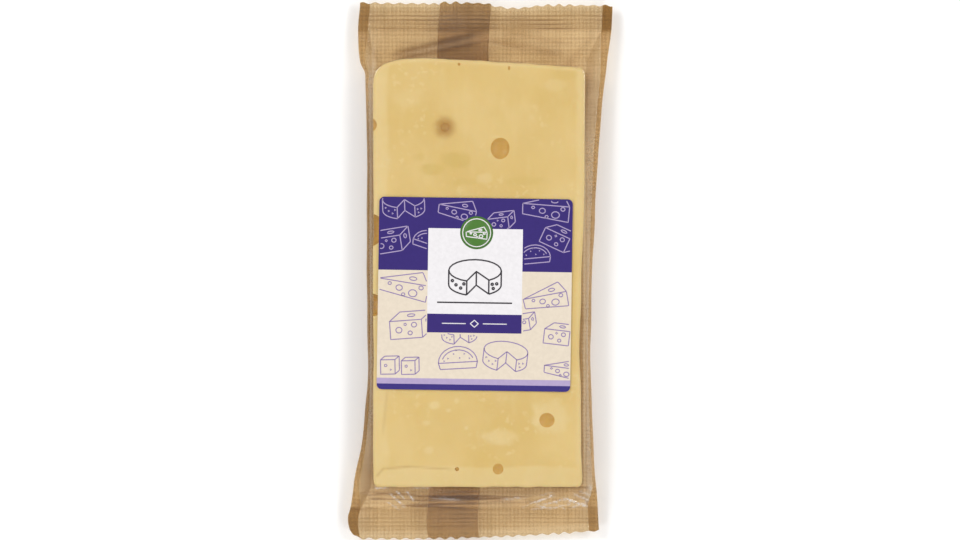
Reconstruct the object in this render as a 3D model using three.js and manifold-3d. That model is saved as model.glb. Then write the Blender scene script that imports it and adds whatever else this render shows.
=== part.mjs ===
// A slab of hard cheese with round eyes, sealed in a flow wrap.
//
// The wrap is three strips joined into a tube: a clear window over the face, and two strips of tan paper film
// that run round the sides and lap over each other along the back. The tube is crimped flat at both ends,
// where a scalloped knife cut it off, and a printed label is stuck on the window.
//
// Millimetres. +X runs across the face, +Y towards the slab's rind end and +Z out of the face, so the pack
// lies on its back on z = 0. The finished group is moved so that the middle of its footprint is the origin.

import * as THREE from "three";
import { mergeVertices } from "three/addons/utils/BufferGeometryUtils.js";
import Module from "manifold-3d";

const wasm = await Module();
wasm.setup();

// ---- Cheese ----
const SLAB_WIDTH = 85;
const SLAB_LENGTH = 171.6;
const SLAB_THICKNESS = 16.5;
const SLAB_EDGE_RADIUS = 1.2; // along every edge of the two big faces
const SLAB_CORNER_RADIUS = 2.5; // of the three square corners, seen from above
const RIND_CREST_INSET = 24; // from the left side to the highest point of the rind end
const RIND_SHOULDER = 11; // how far down the left side the rind's curve comes
const RIND_DROP = 4.4; // from the crest to the right corner

// ---- Film ----
const FILM_THICKNESS = 0.12;
const FILM_GAP = 0.15; // free space between one film and the next, and between film and cheese
const WAIST = 2; // how far the folds stand off the slab's sides where the wrap is tightest
const BEND = 1.2; // length of film on each side of a bend over the slab's edge
const GIRTH_EASE = -0.3; // what the rounded edges take off the flattened width of the tube
const FLARE_POWER = 1.5; // how the folds swing out towards the crimps
const WINDOW_INSET = 4; // from a fold to the window's edge, along the film
const LAP_WIDTH = 20.5; // overlap of the two paper strips along the back
const LAP_OFFSET = -8.4; // the overlap's middle, from the middle of the back
const LAP_RAMP = 4; // length over which the inner strip steps up on to the outer one

// ---- Crimped ends ----
// reach: from the slab's end to the crimp. band: length of the crimp. shift: sideways place of its middle.
// flare: length over which each fold swings out on its way to the crimp.
// slant: how much further out the cut is on the left than on the right. bow: how far its middle is drawn in.
// dip: how far the cut comes in at one place, DIP_X from the middle.
const RIND_END = {
  reach: 12.4, band: 9.8, shift: 3, flareLeft: 38, flareRight: 126, slant: 1.1, bow: 0, dip: 1.5,
};
const PLAIN_END = {
  reach: 9.4, band: 10, shift: -2.2, flareLeft: 48, flareRight: 67, slant: 3.4, bow: -1.25, dip: 0,
};
const DIP_X = 14;
const DIP_HALF_WIDTH = 8.5;
const CRIMP_HEIGHT = 6.5; // above the surface that the pack lies on
const CRIMP_DROOP = 1.5; // how much lower the cut edge is than the crimp's inner edge
const CRIMP_PITCH = 1.7;
const CRIMP_DEPTH = 0.24; // from crest to trough
const SELVAGE = 2.4; // flat film between the last ridge and the cut
const TOOTH_PITCH = 4.6;
const TOOTH_DEPTH = 0.9;

// ---- Label ----
const LABEL_WIDTH = 77.4;
const LABEL_HEIGHT = 77;
const LABEL_THICKNESS = 0.12;
const LABEL_CORNER_RADIUS = 2;
const LABEL_X = -1.7; // its middle, from the slab's middle
const LABEL_Y = -8.6;
const LABEL_TURN = -0.85; // degrees

// ---- Worked out from the sizes above ----
const INSIDE = FILM_GAP + FILM_THICKNESS / 2; // from the wrap's centre line to a film's inner face
const OUTSIDE = INSIDE + FILM_THICKNESS;
const LAPPED = FILM_THICKNESS / 2; // the inner strip lies on the centre line where the strips overlap
const BACK_Z = OUTSIDE; // height of the wrap's centre line along the back
const SLAB_BOTTOM = BACK_Z + INSIDE;
const SLAB_TOP = SLAB_BOTTOM + SLAB_THICKNESS;
const MIDDLE_Z = (BACK_Z + SLAB_TOP) / 2;
const TUBE_WIDTH = SLAB_WIDTH + SLAB_THICKNESS + GIRTH_EASE; // of the flattened tube
const SIDE_GIRTH = Math.hypot(WAIST, SLAB_TOP - MIDDLE_Z); // from a fold to the slab's top edge

// Eyes that reach the surface: balls of a radius, stretched along Y. Each place is measured from the slab's side
// that `from` names for each axis: -1 is the left side, the plain end or the back, 0 is the middle, and 1 is the
// right side, the rind end or the face.
const EYES = [
  { from: [0, 1, 1], place: [-13.6, -27.6, -2.6], radius: 3.4, stretch: 1 },
  { from: [0, 1, 1], place: [8.4, -36.2, -0.6], radius: 4.1, stretch: 1.1 },
  { from: [1, -1, 1], place: [-15.3, 26.8, -0.3], radius: 3, stretch: 1 },
  { from: [0, -1, 1], place: [7.6, 7, -0.4], radius: 2.4, stretch: 1.05 },
  { from: [0, -1, 1], place: [-8.8, 7.2, -0.7], radius: 1.1, stretch: 1 },
  { from: [-1, 0, 1], place: [-1.5, 17.2, -1.6], radius: 6.6, stretch: 1 },
  { from: [-1, 0, 1], place: [-0.1, -13, -2], radius: 4.8, stretch: 0.95 },
  { from: [-1, 1, 1], place: [-0.3, -26.4, -4], radius: 2.8, stretch: 1 },
  { from: [1, 0, 1], place: [0.7, 31, -9], radius: 4.6, stretch: 1 },
  { from: [1, -1, 1], place: [0.9, 48.8, -7], radius: 3.2, stretch: 1.1 },
  { from: [0, -1, 1], place: [12, -0.8, -8.5], radius: 3.6, stretch: 1 },
  { from: [0, 0, -1], place: [-23, -30, 0.9], radius: 4.4, stretch: 1 },
  { from: [0, 0, -1], place: [19, 24, 0.3], radius: 3.6, stretch: 1.1 },
];

const materials = {
  cheese: new THREE.MeshStandardMaterial({ color: 0xe0c483, roughness: 0.45, metalness: 0 }),
  film: new THREE.MeshStandardMaterial({
    color: 0xffffff,
    roughness: 0.12,
    metalness: 0,
    transparent: true,
    opacity: 0.16,
  }),
  paper: new THREE.MeshStandardMaterial({ color: 0xb98f5a, roughness: 0.55, metalness: 0 }),
  label: new THREE.MeshStandardMaterial({ color: 0xefe2c8, roughness: 0.4, metalness: 0 }),
};

// ---- Solids ----

// A closed geometry as a manifold-3d solid.
function toSolid(geometry) {
  const bare = geometry.index ? geometry.toNonIndexed() : geometry.clone();
  bare.deleteAttribute("normal");
  bare.deleteAttribute("uv");
  const merged = mergeVertices(bare, 1e-4);
  return new wasm.Manifold(
    new wasm.Mesh({
      numProp: 3,
      vertProperties: merged.attributes.position.array,
      triVerts: new Uint32Array(merged.index.array),
    }),
  );
}

function toGeometry(solid) {
  const { vertProperties, triVerts } = solid.getMesh();
  const geometry = new THREE.BufferGeometry();
  geometry.setAttribute("position", new THREE.BufferAttribute(new Float32Array(vertProperties), 3));
  geometry.setIndex(new THREE.BufferAttribute(new Uint32Array(triVerts), 1));
  geometry.computeVertexNormals();
  return geometry;
}

function named(name, geometry, material) {
  const mesh = new THREE.Mesh(geometry, material);
  mesh.name = name;
  return mesh;
}

// ---- Cheese slab ----

// The slab from above: three small square corners and the long curve of the rind.
function slabOutline() {
  const [w, l, r] = [SLAB_WIDTH / 2, SLAB_LENGTH / 2, SLAB_CORNER_RADIUS];
  const corner = l - RIND_DROP; // height of the rind end's right corner
  const outline = new THREE.Shape();
  outline.moveTo(-w + r, -l);
  outline.lineTo(w - r, -l);
  outline.quadraticCurveTo(w, -l, w, -l + r);
  outline.lineTo(w, corner - r);
  outline.quadraticCurveTo(w, corner, w - r, corner + r * 0.1);
  outline.quadraticCurveTo(w / 2, l - RIND_DROP / 4, -w + RIND_CREST_INSET, l);
  outline.bezierCurveTo(-w + RIND_CREST_INSET / 2, l, -w, l - RIND_SHOULDER / 4, -w, l - RIND_SHOULDER);
  outline.lineTo(-w, -l + r);
  outline.quadraticCurveTo(-w, -l, -w + r, -l);
  return outline;
}

function cheeseSlab() {
  const block = new THREE.ExtrudeGeometry(slabOutline(), {
    depth: SLAB_THICKNESS - 2 * SLAB_EDGE_RADIUS,
    curveSegments: 6,
    bevelThickness: SLAB_EDGE_RADIUS,
    bevelSize: SLAB_EDGE_RADIUS,
    bevelOffset: -SLAB_EDGE_RADIUS,
    bevelSegments: 3,
  });
  block.translate(0, 0, SLAB_BOTTOM + SLAB_EDGE_RADIUS);
  const half = [SLAB_WIDTH / 2, SLAB_LENGTH / 2, SLAB_THICKNESS / 2];
  const middle = [0, 0, (SLAB_BOTTOM + SLAB_TOP) / 2];
  let slab = toSolid(block);
  for (const { from, place, radius, stretch } of EYES) {
    const ball = new THREE.SphereGeometry(radius, 16, 10);
    ball.rotateX(Math.PI / 2);
    ball.scale(1, stretch, 1);
    ball.translate(...[0, 1, 2].map((axis) => middle[axis] + from[axis] * half[axis] + place[axis]));
    slab = slab.subtract(toSolid(ball));
  }
  return toGeometry(slab);
}

// ---- Wrap ----

// How far a fold stands off the slab's side at y. It swings out from the waist to the crimp's corner at each end.
function standOff(y, side) {
  let furthest = WAIST;
  for (const [end, sign] of [[RIND_END, 1], [PLAIN_END, -1]]) {
    const flare = side < 0 ? end.flareLeft : end.flareRight;
    const corner = (TUBE_WIDTH - SLAB_WIDTH) / 2 + side * end.shift;
    const toCrimp = SLAB_LENGTH / 2 + end.reach - sign * y;
    const along = THREE.MathUtils.clamp(1 - toCrimp / flare, 0, 1);
    furthest = Math.max(furthest, WAIST + (corner - WAIST) * along ** FLARE_POWER);
  }
  return furthest;
}

// The wrap's centre line at one place along the pack: the two folds, and the four bends over the slab's edges.
function slabStation(y) {
  return {
    y,
    left: [-SLAB_WIDTH / 2 - standOff(y, -1), MIDDLE_Z],
    right: [SLAB_WIDTH / 2 + standOff(y, 1), MIDDLE_Z],
    bends: [-SLAB_WIDTH / 2, SLAB_WIDTH / 2],
    crown: SLAB_TOP,
    back: BACK_Z,
  };
}

// The same where the tube is flat, at a distance past the crimp's inner edge.
function crimpStation(end, sign, past, ripple) {
  const droop = (CRIMP_DROOP * past) / end.band;
  const z = CRIMP_HEIGHT - droop + ripple;
  const [left, right] = [end.shift - TUBE_WIDTH / 2, end.shift + TUBE_WIDTH / 2];
  return {
    y: sign * (SLAB_LENGTH / 2 + end.reach + past),
    left: [left, z],
    right: [right, z],
    bends: [left + SIDE_GIRTH, right - SIDE_GIRTH],
    crown: z,
    back: z,
  };
}

// The stations of one crimped end, from its inner edge outwards past the cut.
function crimpStations(end, sign) {
  const stations = [];
  const halfPitch = CRIMP_PITCH / 2;
  const ridges = Math.max(1, Math.floor((end.band - SELVAGE) / halfPitch));
  for (let i = 0; i <= ridges; i++) {
    const ripple = i === 0 || i === ridges ? 0 : ((i % 2 ? 1 : -1) * CRIMP_DEPTH) / 2;
    stations.push(crimpStation(end, sign, i * halfPitch, ripple));
  }
  const beyondCut = end.band + Math.abs(end.slant) + Math.abs(end.bow) + 2 * TOOTH_DEPTH;
  stations.push(crimpStation(end, sign, beyondCut, 0));
  return stations;
}

function wrapStations() {
  const half = SLAB_LENGTH / 2 + FILM_GAP;
  const steps = 10;
  const along = [];
  for (let i = 0; i <= steps; i++) along.push(slabStation(-half + (2 * half * i) / steps));
  return [...crimpStations(PLAIN_END, -1).reverse(), ...along, ...crimpStations(RIND_END, 1)];
}

// Outward normal of the wrap's centre line from a to b, going clockwise seen from the rind end's far side.
function normalOf(a, b) {
  const [dx, dz] = [b[0] - a[0], b[1] - a[1]];
  const length = Math.hypot(dx, dz);
  return [-dz / length, dx / length];
}

// A sample on the line from a to b, at a distance from a, or from b if it is negative.
function onLine(a, b, distance, layer = [INSIDE, OUTSIDE]) {
  const length = Math.hypot(b[0] - a[0], b[1] - a[1]);
  const t = distance < 0 ? 1 + distance / length : distance / length;
  return { point: [a[0] + (b[0] - a[0]) * t, a[1] + (b[1] - a[1]) * t], normal: normalOf(a, b), layer };
}

// The three samples that carry a film round the bend at b.
function bend(a, b, c) {
  const [n, m] = [normalOf(a, b), normalOf(b, c)];
  const length = Math.hypot(n[0] + m[0], n[1] + m[1]);
  const middle = [(n[0] + m[0]) / length, (n[1] + m[1]) / length];
  return [onLine(a, b, -BEND), { point: b, normal: middle, layer: [INSIDE, OUTSIDE] }, onLine(b, c, BEND)];
}

// The three samples that carry a film round a fold, which is a half turn in the crimps.
function fold(a, b, c, sideways) {
  const layer = [INSIDE, OUTSIDE];
  return [normalOf(a, b), [sideways, 0], normalOf(b, c)].map((normal) => ({ point: b, normal, layer }));
}

function corners(station) {
  const { left, right, bends, crown, back } = station;
  return {
    left,
    right,
    topLeft: [bends[0], crown],
    topRight: [bends[1], crown],
    backLeft: [bends[0], back],
    backRight: [bends[1], back],
    lapMiddle: (left[0] + right[0]) / 2 + LAP_OFFSET,
  };
}

function windowSection(station) {
  const c = corners(station);
  const edge = WINDOW_INSET + FILM_GAP / 2;
  const third = (c.topRight[0] - c.topLeft[0]) / 3;
  return [
    onLine(c.left, c.topLeft, edge),
    ...bend(c.left, c.topLeft, c.topRight),
    onLine(c.topLeft, c.topRight, third),
    onLine(c.topLeft, c.topRight, -third),
    ...bend(c.topLeft, c.topRight, c.right),
    onLine(c.topRight, c.right, -edge),
  ];
}

// The paper strip on the left starts as the inner layer of the lap, then steps down to be the outer one.
function leftSection(station) {
  const c = corners(station);
  const lapped = [-LAPPED, LAPPED];
  const outerEdge = c.lapMiddle - LAP_WIDTH / 2; // free edge of the strip that laps over it
  const across = (x) => c.backRight[0] - x; // distance along the back, from its right bend
  return [
    onLine(c.backRight, c.backLeft, across(outerEdge + LAP_WIDTH), lapped),
    onLine(c.backRight, c.backLeft, across(outerEdge - FILM_GAP), lapped),
    onLine(c.backRight, c.backLeft, across(outerEdge - FILM_GAP - LAP_RAMP)),
    ...bend(c.backRight, c.backLeft, c.left),
    ...fold(c.backLeft, c.left, c.topLeft, -1),
    onLine(c.left, c.topLeft, WINDOW_INSET - FILM_GAP / 2),
  ];
}

// The paper strip on the right stays the outer layer as far as its free edge.
function rightSection(station) {
  const c = corners(station);
  const outerEdge = c.lapMiddle - LAP_WIDTH / 2;
  return [
    onLine(c.topRight, c.right, FILM_GAP / 2 - WINDOW_INSET),
    ...fold(c.topRight, c.right, c.backRight, 1),
    ...bend(c.right, c.backRight, c.backLeft),
    onLine(c.backRight, c.backLeft, c.backRight[0] - (outerEdge + LAP_WIDTH)),
    onLine(c.backRight, c.backLeft, c.backRight[0] - outerEdge),
  ];
}

// A thin closed solid through a section at every station: an inner and an outer skin, joined along the rim.
function skin(section) {
  const stations = wrapStations();
  const rows = stations.map(section);
  const samples = rows[0].length;
  const positions = [];
  for (let r = 0; r < rows.length; r++)
    for (const { point, normal, layer } of rows[r])
      for (const offset of layer)
        positions.push(point[0] + normal[0] * offset, stations[r].y, point[1] + normal[1] * offset);
  const at = (row, sample, face) => 2 * (row * samples + sample) + face;
  const index = [];
  const quad = (a, b, c, d) => index.push(a, b, c, a, c, d);
  for (let r = 0; r + 1 < rows.length; r++) {
    for (let s = 0; s + 1 < samples; s++) {
      quad(at(r, s, 1), at(r, s + 1, 1), at(r + 1, s + 1, 1), at(r + 1, s, 1));
      quad(at(r, s, 0), at(r + 1, s, 0), at(r + 1, s + 1, 0), at(r, s + 1, 0));
    }
    quad(at(r, 0, 0), at(r, 0, 1), at(r + 1, 0, 1), at(r + 1, 0, 0));
    quad(at(r, samples - 1, 1), at(r, samples - 1, 0), at(r + 1, samples - 1, 0), at(r + 1, samples - 1, 1));
  }
  const last = rows.length - 1;
  for (let s = 0; s + 1 < samples; s++) {
    quad(at(0, s, 0), at(0, s + 1, 0), at(0, s + 1, 1), at(0, s, 1));
    quad(at(last, s, 1), at(last, s + 1, 1), at(last, s + 1, 0), at(last, s, 0));
  }
  const geometry = new THREE.BufferGeometry();
  geometry.setAttribute("position", new THREE.Float32BufferAttribute(positions, 3));
  geometry.setIndex(index);
  return toSolid(geometry);
}

// The block that the scalloped knife takes off one end. Its inner side is the cut.
function knife(end, sign) {
  const reach = TUBE_WIDTH;
  const cut = SLAB_LENGTH / 2 + end.reach + end.band;
  const line = (x) => {
    const across = x / (TUBE_WIDTH / 2);
    const tooth = (TOOTH_DEPTH / 2) * Math.cos((2 * Math.PI * x) / TOOTH_PITCH);
    const dip = end.dip * Math.exp(-(((x - DIP_X) / DIP_HALF_WIDTH) ** 2));
    return cut - (end.slant / 2) * across - end.bow * (1 - Math.min(1, across ** 2)) - dip + tooth;
  };
  const outline = new THREE.Shape();
  outline.moveTo(-reach, sign * (cut + SLAB_THICKNESS));
  const step = TOOTH_PITCH / 4;
  for (let x = -reach; x <= reach; x += step) outline.lineTo(x, sign * line(x));
  outline.lineTo(reach, sign * (cut + SLAB_THICKNESS));
  const block = new THREE.ExtrudeGeometry(outline, { depth: 2 * SLAB_THICKNESS, bevelEnabled: false });
  block.translate(0, 0, -SLAB_THICKNESS / 2);
  return toSolid(block);
}

const knives = [knife(RIND_END, 1), knife(PLAIN_END, -1)];

function cutToLength(solid) {
  return toGeometry(knives.reduce((left, block) => left.subtract(block), solid));
}

// ---- Label ----

function label() {
  const [w, h, r] = [LABEL_WIDTH / 2, LABEL_HEIGHT / 2, LABEL_CORNER_RADIUS];
  const outline = new THREE.Shape();
  outline.absarc(w - r, -h + r, r, -Math.PI / 2, 0);
  outline.absarc(w - r, h - r, r, 0, Math.PI / 2);
  outline.absarc(-w + r, h - r, r, Math.PI / 2, Math.PI);
  outline.absarc(-w + r, -h + r, r, Math.PI, 1.5 * Math.PI);
  return new THREE.ExtrudeGeometry(outline, { depth: LABEL_THICKNESS, bevelEnabled: false, curveSegments: 6 });
}

// ---- Pack ----

const pack = new THREE.Group();
pack.add(named("cheese_slab", cheeseSlab(), materials.cheese));
pack.add(named("clear_window", cutToLength(skin(windowSection)), materials.film));
pack.add(named("paper_strip_left", cutToLength(skin(leftSection)), materials.paper));
pack.add(named("paper_strip_right", cutToLength(skin(rightSection)), materials.paper));

const sticker = named("front_label", label(), materials.label);
sticker.position.set(LABEL_X, LABEL_Y, SLAB_TOP + OUTSIDE + FILM_GAP);
sticker.rotation.z = THREE.MathUtils.degToRad(LABEL_TURN);
pack.add(sticker);

// The origin is the middle of the footprint, on the surface that the pack lies on.
const box = new THREE.Box3().setFromObject(pack, true);
const centre = box.getCenter(new THREE.Vector3());
pack.position.set(-centre.x, -centre.y, -box.min.z);

export default pack;
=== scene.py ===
import math

import bpy
import numpy as np
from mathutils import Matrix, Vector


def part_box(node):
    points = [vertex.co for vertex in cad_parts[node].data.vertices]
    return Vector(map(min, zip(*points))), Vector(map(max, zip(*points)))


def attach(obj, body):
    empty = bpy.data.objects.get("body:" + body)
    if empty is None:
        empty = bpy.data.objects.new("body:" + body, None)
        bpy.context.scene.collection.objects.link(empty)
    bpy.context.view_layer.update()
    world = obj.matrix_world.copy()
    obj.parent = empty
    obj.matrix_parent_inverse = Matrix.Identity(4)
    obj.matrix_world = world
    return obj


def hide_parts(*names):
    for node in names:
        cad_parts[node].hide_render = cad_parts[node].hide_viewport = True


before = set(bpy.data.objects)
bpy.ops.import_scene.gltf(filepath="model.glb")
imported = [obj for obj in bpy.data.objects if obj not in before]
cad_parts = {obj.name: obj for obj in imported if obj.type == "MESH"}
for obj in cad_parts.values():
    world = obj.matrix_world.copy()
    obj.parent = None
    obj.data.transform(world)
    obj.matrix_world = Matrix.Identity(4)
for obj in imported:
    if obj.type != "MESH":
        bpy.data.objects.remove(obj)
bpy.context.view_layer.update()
print("packed frame loaded")

# Every shape below is worked out in millimetres from the middle of the cheese, with heights
# from the table.
slabLow, slabHigh = [np.array(corner) * 1000 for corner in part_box("cheese_slab")]
slabMiddle = np.array([(slabLow[0] + slabHigh[0]) / 2, (slabLow[1] + slabHigh[1]) / 2, 0])
halfWide = (slabHigh[0] - slabLow[0]) / 2
halfLong = (slabHigh[1] - slabLow[1]) / 2
slabBottom, slabTop = slabLow[2], slabHigh[2]


# Zero up to -r, then a parabola, then the line q itself from r on: a corner with a fillet.
def ramp(q, r):
    held = np.clip(q, -r, r)
    return np.where(q > r, q, (held + r) ** 2 / (4 * r))


# The slope of ramp: 0 up to -r, rising evenly to 1 at r.
def step(q, r):
    return np.clip((q + r) / (2 * r), 0, 1)


# An S-shaped rise from 0 at low to 1 at high.
def ease(q, low, high):
    t = np.clip((q - low) / (high - low), 0, 1)
    return t * t * (3 - 2 * t)


# Soft random waves between about -1 and 1: cosines of many directions and lengths, added up.
def waves(x, y, length, seed, count=14, stretchY=1.0):
    rng = np.random.default_rng(seed)
    total = np.zeros(np.broadcast(x, y).shape)
    for _ in range(count):
        angle = rng.uniform(0, math.tau)
        pace = math.tau / (length * rng.uniform(0.6, 1.7))
        across = x * math.cos(angle) + y * math.sin(angle) / stretchY
        total += np.cos(pace * across + rng.uniform(0, math.tau))
    return total / math.sqrt(count)


# A raised line from one point to another: a bell across, fading at both ends.
def crease(x, y, start, end, width, height):
    run = np.array(end, float) - start
    length = math.hypot(*run)
    along = ((x - start[0]) * run[0] + (y - start[1]) * run[1]) / length ** 2
    off = ((x - start[0]) * run[1] - (y - start[1]) * run[0]) / length
    return height * np.exp(-(off / width) ** 2) * ease(along, -0.02, 0.25) * (1 - ease(along, 0.75, 1.02))


# Four-cornered faces of a grid of rows by columns, closed round its columns if wrapped.
def gridFaces(rows, columns, wrapped=False):
    r = np.arange(rows - 1)[:, None]
    c = np.arange(columns if wrapped else columns - 1)[None, :]
    following = (c + 1) % columns
    here, above = r * columns, (r + 1) * columns
    corners = [here + c, here + following, above + following, above + c]
    shape = (rows - 1, c.shape[1])
    return np.stack([np.broadcast_to(corner, shape) for corner in corners], -1).reshape(-1, 4)


# Turns every face round if the closed mesh's signed volume is negative.
def facingOut(points, faces):
    a, b, c, d = (points[faces[:, k]] for k in range(4))
    volume = np.einsum("ij,ij->i", a, np.cross(b, c) + np.cross(c, d)).sum()
    return faces if volume > 0 else faces[:, ::-1]


# Stores one number for each point of a mesh.
def setMark(mesh, key, values):
    stored = mesh.attributes.new(key, "FLOAT", "POINT")
    stored.data.foreach_set("value", values.astype(np.float32))


# A mesh object from points in millimetres and four-cornered faces by point number. Unused points
# are left out, and a face at a pole, which names one point twice, becomes a triangle. Marks are
# numbers for each point that a material reads.
def makePiece(name, points, faces, materials, faceMaterial=None, marks=None):
    used, faces = np.unique(facingOut(points, faces), return_inverse=True)
    faces = faces.reshape(-1, 4)
    inOrder = np.sort(faces, axis=1)
    doubled = (inOrder[:, 1:] == inOrder[:, :-1]).any(axis=1)
    triangles = [list(dict.fromkeys(face)) for face in faces[doubled].tolist()]
    corners = faces[~doubled].tolist() + [face for face in triangles if len(face) == 3]
    mesh = bpy.data.meshes.new(name)
    mesh.from_pydata(((points[used] + slabMiddle) * 0.001).tolist(), [], corners)
    for material in materials:
        mesh.materials.append(material)
    if faceMaterial is not None:
        mesh.polygons.foreach_set("material_index", np.asarray(faceMaterial, dtype=np.int32))
    for key, values in (marks or {}).items():
        setMark(mesh, key, values[used])
    mesh.polygons.foreach_set("use_smooth", np.ones(len(corners), dtype=bool))
    mesh.update()
    piece = bpy.data.objects.new(name, mesh)
    bpy.context.scene.collection.objects.link(piece)
    return piece


# A thin closed shell between two grids of points: both skins, and a wall along each of the four
# sides.
def shellOf(under, over):
    rows, columns = under.shape[:2]
    count = rows * columns
    skin = gridFaces(rows, columns)
    first = np.arange(columns)
    last = first + (rows - 1) * columns
    left = np.arange(rows) * columns
    right = left + columns - 1

    def wall(line):
        return np.stack([line[:-1], line[1:], line[1:] + count, line[:-1] + count], -1)

    faces = [skin[:, ::-1], skin + count,
             wall(first), wall(last)[:, ::-1], wall(left)[:, ::-1], wall(right)]
    return np.concatenate([under.reshape(-1, 3), over.reshape(-1, 3)]), np.concatenate(faces)


# Linear colour from the usual 0 to 255 values.
def colour(red, green, blue):
    parts = [v / 255 for v in (red, green, blue)]
    return [v / 12.92 if v <= 0.04045 else ((v + 0.055) / 1.055) ** 2.4 for v in parts] + [1.0]


# A new material, and its empty tree of nodes.
def newMaterial(name):
    material = bpy.data.materials.new(name)
    material.use_nodes = True
    material.node_tree.nodes.clear()
    return material, material.node_tree


# A node with its settings and its inputs, each a value or the output that feeds it.
def node(tree, kind, inputs=None, **settings):
    made = tree.nodes.new(kind)
    for key, value in settings.items():
        setattr(made, key, value)
    for key, value in (inputs or {}).items():
        if isinstance(value, bpy.types.NodeSocket):
            tree.links.new(value, made.inputs[key])
        else:
            made.inputs[key].default_value = value
    return made


# The shader that a material ends with.
def finishWith(tree, shader):
    tree.links.new(shader.outputs[0], node(tree, "ShaderNodeOutputMaterial").inputs["Surface"])


# Noise read at object coordinates stretched by a scale for each axis, as a number from 0 to 1.
def noise(tree, scale, detail=3.0, stretch=(1, 1, 1), rough=0.5, seed=0.0):
    place = node(tree, "ShaderNodeTexCoord").outputs["Object"]
    moved = node(tree, "ShaderNodeMapping", {
        "Vector": place, "Scale": stretch, "Location": (seed, seed * 0.7, 0),
    })
    return node(tree, "ShaderNodeTexNoise", {
        "Vector": moved.outputs[0], "Scale": scale, "Detail": detail, "Roughness": rough,
    }).outputs["Fac"]


# A mark of the mesh, as the material reads it.
def mark(tree, key):
    return node(tree, "ShaderNodeAttribute", attribute_name=key).outputs["Fac"]


# A number carried from one range to another, held at the ends.
def remap(tree, value, low, high, toLow=0.0, toHigh=1.0):
    return node(tree, "ShaderNodeMapRange", {
        "Value": value, "From Min": low, "From Max": high, "To Min": toLow, "To Max": toHigh,
    }).outputs[0]


# Two numbers put together by one operation.
def maths(tree, operation, a, b=0.0):
    return node(tree, "ShaderNodeMath", {0: a, 1: b}, operation=operation).outputs[0]


# One colour laid over another by a share.
def blend(tree, share, under, over):
    return node(tree, "ShaderNodeMix", {0: share, 6: under, 7: over}, data_type="RGBA").outputs[2]


cheese = {
    "grid": 0.7,  # spacing of the surface's points
    "edgeRadius": 1.3,
    "crestX": -20.0,  # highest point of the rind end
    "rindDrop": 3.8,  # from the crest to the right corner
    "shoulder": 11.0,  # how far down the left side the rind's curve comes
    "cornerRadius": 2.2,
    "cornerShare": 0.7,  # of that radius, at the plain end
    "footRoll": (1.2, 10.0),  # fall of the face towards the plain end, and how far in it starts
    "leftRoll": (0.7, 6.5),
    "rightRoll": (0.5, 4.5),
    "hollow": (1.5, -5, 32),  # how far the right side comes in, and where along y that fades out
    "dent": (0.45, -28, 14),  # a shallow dent there: depth, middle, half width
    "footCorner": (0.6, -84, -70),  # how far the side comes back out, and where that begins
    "flesh": colour(216, 187, 120),
    "fleshDeep": colour(210, 179, 107),
    "bloom": colour(220, 195, 135),
    # pale patches, and a painted reflection where the film stands off at the margins
    "paleAndReflection": colour(220, 196, 138),
    "patch": colour(204, 174, 98),
    # painted shade: the colour of the shade round the deep eye and of the lines where the film leaves the
    # cheese
    "shade": colour(176, 134, 64),
    # painted shade: the eyes' walls are darker than the flesh, as shade inside the holes
    "eyeWallShaded": colour(201, 158, 74),
    "eyeWallShadedDeep": colour(190, 145, 62),
    "deepEyeShade": colour(172, 128, 58),
    "openEyes": [  # middle x and y, half width of the opening, depth, stretch along y
        (-13.6, 58.2, 1.9, 0.7, 1.0),
        (8.4, 49.6, 3.9, 1.5, 1.1),
        (27.2, -59.0, 3.0, 0.8, 1.0),
        (7.6, -78.8, 2.3, 0.9, 1.05),
        (-8.8, -78.6, 0.8, 0.9, 1.0),
        (-8.0, 83.4, 0.5, 0.25, 1.0),
        (12.0, 81.9, 0.45, 0.25, 1.7),
    ],
    "sideEyes": [  # middle x and y, depth below the face, radius, stretch along y
        (-44.0, 17.2, 1.6, 6.6, 1.0),
        (-42.6, -13.0, 2.0, 4.8, 0.95),
        (-42.8, 59.2, 1.9, 2.3, 1.1),
        (43.2, 31.0, 9.0, 4.6, 1.0),
        (43.4, -37.0, 7.0, 3.2, 1.1),
        (12.0, -86.6, 8.5, 3.6, 1.0),
        (-23.0, -30.0, 15.6, 4.4, 1.0),
        (19.0, 24.0, 16.2, 3.6, 1.1),
    ],
    # soft patches on the face: middle x and y, half width, half height, strength
    "palePatches": [
        (28.6, -57.6, 8.6, 7.6, 0.8),
        (8.4, -65.8, 8.2, 3.6, 0.75),
        (2.4, 37.6, 3.4, 2.6, 0.6),
        (-18.0, -53.0, 2.6, 1.8, 0.9),
        (-21.0, -60.0, 1.8, 1.2, 0.8),
        (-12.0, -55.0, 1.2, 0.9, 0.8),
        (-9.0, -51.0, 1.0, 1.3, 0.8),
        (-20.0, -71.0, 2.2, 1.8, 0.7),
        (-5.0, -62.0, 0.9, 0.9, 0.8),
        (30.0, 75.0, 5.0, 3.0, 0.4),
        (-28.0, 70.0, 7.0, 4.0, 0.35),
        (-2.0, -70.0, 1.0, 0.8, 0.7),
    ],
    "deepPatches": [
        (-9.0, 45.0, 6.8, 3.8, 1.0),
        (-19.0, 41.4, 5.6, 2.6, 0.9),
        (-24.0, 46.4, 2.6, 1.6, 0.5),
        (18.0, 36.8, 9.0, 2.0, 0.5),
        (34.0, 79.0, 5.6, 2.2, 0.4),
        (-6.0, 36.4, 6.0, 1.6, 0.6),
    ],
    # painted shade: thin darker lines where the film leaves the cheese: start, end, half width, strength
    "contour": [
        ((-41.4, -82.0), (-37.6, -77.6), 0.5, 0.8),
        ((-39.0, -78.4), (-26.0, -77.4), 0.45, 1.0),
        ((-30.0, -77.4), (-8.0, -78.8), 0.4, 0.8),
        ((-36.4, -44.0), (-38.6, -66.0), 0.6, 0.5),
    ],
    "halo": (-13.6, 58.2, 1.8, 5.8),  # painted shade round the deep eye: middle, where it starts and ends
}


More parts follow.
